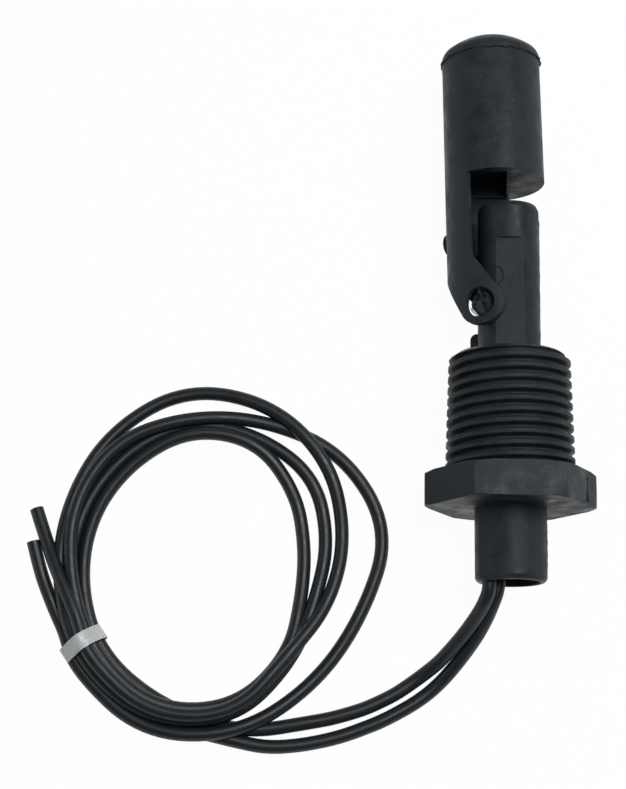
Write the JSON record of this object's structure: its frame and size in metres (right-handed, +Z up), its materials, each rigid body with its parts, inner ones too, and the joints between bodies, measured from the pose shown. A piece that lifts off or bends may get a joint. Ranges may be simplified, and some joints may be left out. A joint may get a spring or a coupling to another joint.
{
  "type": "float level switch",
  "caption": "Side-mounted float level switch: black moulded stem with taper pipe thread and hex flange, hinged float almost closed along it, and two loose wires coiled beside it.",
  "frame": {"origin": "on the axis of the pipe thread, in the plane of the flange face that the thread starts from", "axes": "+Y along the thread's axis towards the tip of the float, +Z up from the flat of the hex flange that the switch lies on, +X completes the right-handed frame; the float opens towards -X and down"},
  "size_m": [0.0935, 0.1205, 0.025],
  "materials": {
    "plastic": "fine moulded satin",
    "potting": "glossy cast resin",
    "wire": "satin insulation",
    "tape": "clear frosted film",
    "magnet": "plain ground",
    "glass": "clear",
    "lead": "tinned",
    "copper": "bare stranded copper",
    "sleeve": "shrunk sleeve"
  },
  "bodies": {
    "housing": {"switch_body": "plastic", "reed_glass": "glass", "reed_blade_front": "lead", "reed_blade_back": "lead", "solder_joint_front": "lead", "solder_joint_back": "lead", "shrink_sleeve_front": "sleeve", "shrink_sleeve_back": "sleeve", "conductor_a": "copper", "conductor_b": "copper", "potting": "potting", "wire_a_lead": "wire", "wire_b_lead": "wire", "wire_coil": "wire", "wire_a_end": "wire", "wire_b_end": "wire", "tape_band": "tape"},
    "float_arm": {"float": "plastic", "float_cap": "plastic", "magnet": "magnet", "magnet_plug": "plastic"}
  },
  "joints": [
    {"name": "float_hinge", "type": "hinge", "parent": "housing", "child": "float_arm", "pos_m": [-0.0013, 0.02714, -0.00075], "axis": [-0.5, 0, 0.866], "range_deg": [-1.6, 58.4]}
  ]
}
